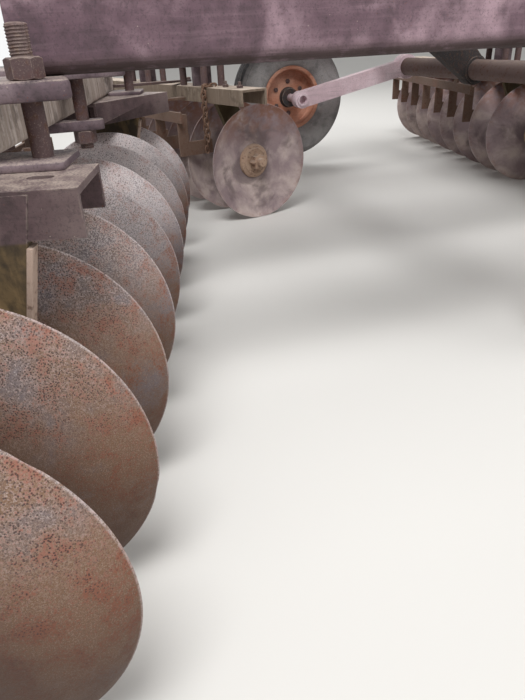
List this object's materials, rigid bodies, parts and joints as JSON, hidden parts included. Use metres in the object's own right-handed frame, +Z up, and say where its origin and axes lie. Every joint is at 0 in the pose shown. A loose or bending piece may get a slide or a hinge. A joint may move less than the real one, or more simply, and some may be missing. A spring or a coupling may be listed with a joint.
{
  "type": "disc harrow",
  "caption": "Towed tandem disc harrow with dished discs on angled gangs, raised transport wheels on a rockshaft, a lift cylinder and a hinged pull tongue on a jack.",
  "frame": {"origin": "on the ground under the middle of the machine's bounding box", "axes": "+X to the machine's right, +Y forward towards the tongue, +Z up"},
  "size_m": [4.7812, 6.47, 1.052],
  "materials": {
    "frame_paint": "faded maroon paint, dusty and rusted through in places",
    "beam_steel": "bare weathered steel, streaked with grey dust",
    "hanger_steel": "old purple-brown paint gone to rust",
    "clamp_steel": "rusted forged plate and bolts",
    "scraper_steel": "brown rust",
    "disc_steel": "worn blue-grey steel under speckled orange-brown rust",
    "axle_iron": "rusted cast iron spools and washers",
    "shaft_steel": "dark brown rusted tube",
    "arm_paint": "bleached pinkish grey paint",
    "bearing_iron": "black greased iron",
    "wheel_paint": "faded orange-red paint",
    "tyre_rubber": "dusty weathered rubber",
    "cylinder_paint": "old dark red paint",
    "rod_chrome": "dull chromed rod with rust specks",
    "hitch_iron": "dark worn forging"
  },
  "bodies": {
    "frame": {"right_rail": "frame_paint", "left_rail": "frame_paint", "inner_rails": "frame_paint", "cross_tubes": "frame_paint", "rockshaft_bearings": "bearing_iron", "cylinder_lug": "frame_paint", "hinge_lugs": "frame_paint", "rear_right_beam": "beam_steel", "rear_right_hangers": "hanger_steel", "rear_right_clamps": "clamp_steel", "rear_right_scrapers": "scraper_steel", "rear_left_beam": "beam_steel", "rear_left_hangers": "hanger_steel", "rear_left_clamps": "clamp_steel", "rear_left_scrapers": "scraper_steel", "front_left_beam": "beam_steel", "front_left_hangers": "hanger_steel", "front_left_clamps": "clamp_steel", "front_left_scrapers": "scraper_steel", "front_right_beam": "beam_steel", "front_right_hangers": "hanger_steel", "front_right_clamps": "clamp_steel", "front_right_scrapers": "scraper_steel"},
    "rear_right_gang": {"rear_right_discs": "disc_steel", "rear_right_axle": "axle_iron"},
    "rear_left_gang": {"rear_left_discs": "disc_steel", "rear_left_axle": "axle_iron"},
    "front_left_gang": {"front_left_discs": "disc_steel", "front_left_axle": "axle_iron"},
    "front_right_gang": {"front_right_discs": "disc_steel", "front_right_axle": "axle_iron"},
    "rockshaft": {"rockshaft": "shaft_steel", "left_arm": "arm_paint", "right_arm": "arm_paint"},
    "left_wheel": {"left_rim": "wheel_paint", "left_tyre": "tyre_rubber"},
    "right_wheel": {"right_rim": "wheel_paint", "right_tyre": "tyre_rubber"},
    "lift_barrel": {"cylinder_barrel": "cylinder_paint"},
    "lift_rod": {"cylinder_rod": "rod_chrome"},
    "tongue": {"tongue_tube": "frame_paint", "tongue_braces": "frame_paint", "hitch_clevis": "hitch_iron", "jack_tube": "hanger_steel"},
    "jack_leg": {"jack_leg": "hitch_iron"}
  },
  "joints": [
    {"name": "rear_right_spin", "type": "hinge", "parent": "frame", "child": "rear_right_gang", "pos_m": [0.03482, -2.32075, 0.298], "axis": [0.9675, -0.2529, 0], "continuous": true},
    {"name": "rear_left_spin", "type": "hinge", "parent": "frame", "child": "rear_left_gang", "pos_m": [-0.30518, -1.54575, 0.298], "axis": [-0.9675, -0.2529, 0], "continuous": true},
    {"name": "front_left_spin", "type": "hinge", "parent": "frame", "child": "front_left_gang", "pos_m": [-0.30518, 0.27725, 0.298], "axis": [-0.9675, 0.2529, 0], "continuous": true},
    {"name": "front_right_spin", "type": "hinge", "parent": "frame", "child": "front_right_gang", "pos_m": [0.03482, 0.39725, 0.298], "axis": [0.9675, 0.2529, 0], "continuous": true},
    {"name": "rockshaft_turn", "type": "hinge", "parent": "frame", "child": "rockshaft", "pos_m": [0.06482, -0.07275, 0.665], "axis": [1, 0, 0], "range_deg": [-2, 30]},
    {"name": "left_wheel_spin", "type": "hinge", "parent": "rockshaft", "child": "left_wheel", "pos_m": [-1.53518, -0.89275, 0.5], "axis": [1, 0, 0], "continuous": true},
    {"name": "right_wheel_spin", "type": "hinge", "parent": "rockshaft", "child": "right_wheel", "pos_m": [1.66482, -0.89275, 0.5], "axis": [1, 0, 0], "continuous": true},
    {"name": "lift_barrel_tilt", "type": "hinge", "parent": "frame", "child": "lift_barrel", "pos_m": [0.06482, 0.66925, 0.88], "axis": [1, 0, 0], "range_deg": [-0.2, 0.9]},
    {"name": "lift_rod_slide", "type": "slide", "parent": "lift_barrel", "child": "lift_rod", "axis": [0, -0.9977, 0.068], "range_m": [-0.012, 0.145]},
    {"name": "tongue_hinge", "type": "hinge", "parent": "frame", "child": "tongue", "pos_m": [0.06482, 1.10725, 0.78], "axis": [1, 0, 0], "range_deg": [-4, 12]},
    {"name": "jack_slide", "type": "slide", "parent": "tongue", "child": "jack_leg", "axis": [0, 0, 1], "range_m": [0, 0.24]}
  ],
  "couplings": [
    {"joint": "lift_rod_slide", "follows": "rockshaft_turn", "m_per_rad": 0.26641},
    {"joint": "lift_barrel_tilt", "follows": "rockshaft_turn", "ratio": 0.02232}
  ]
}
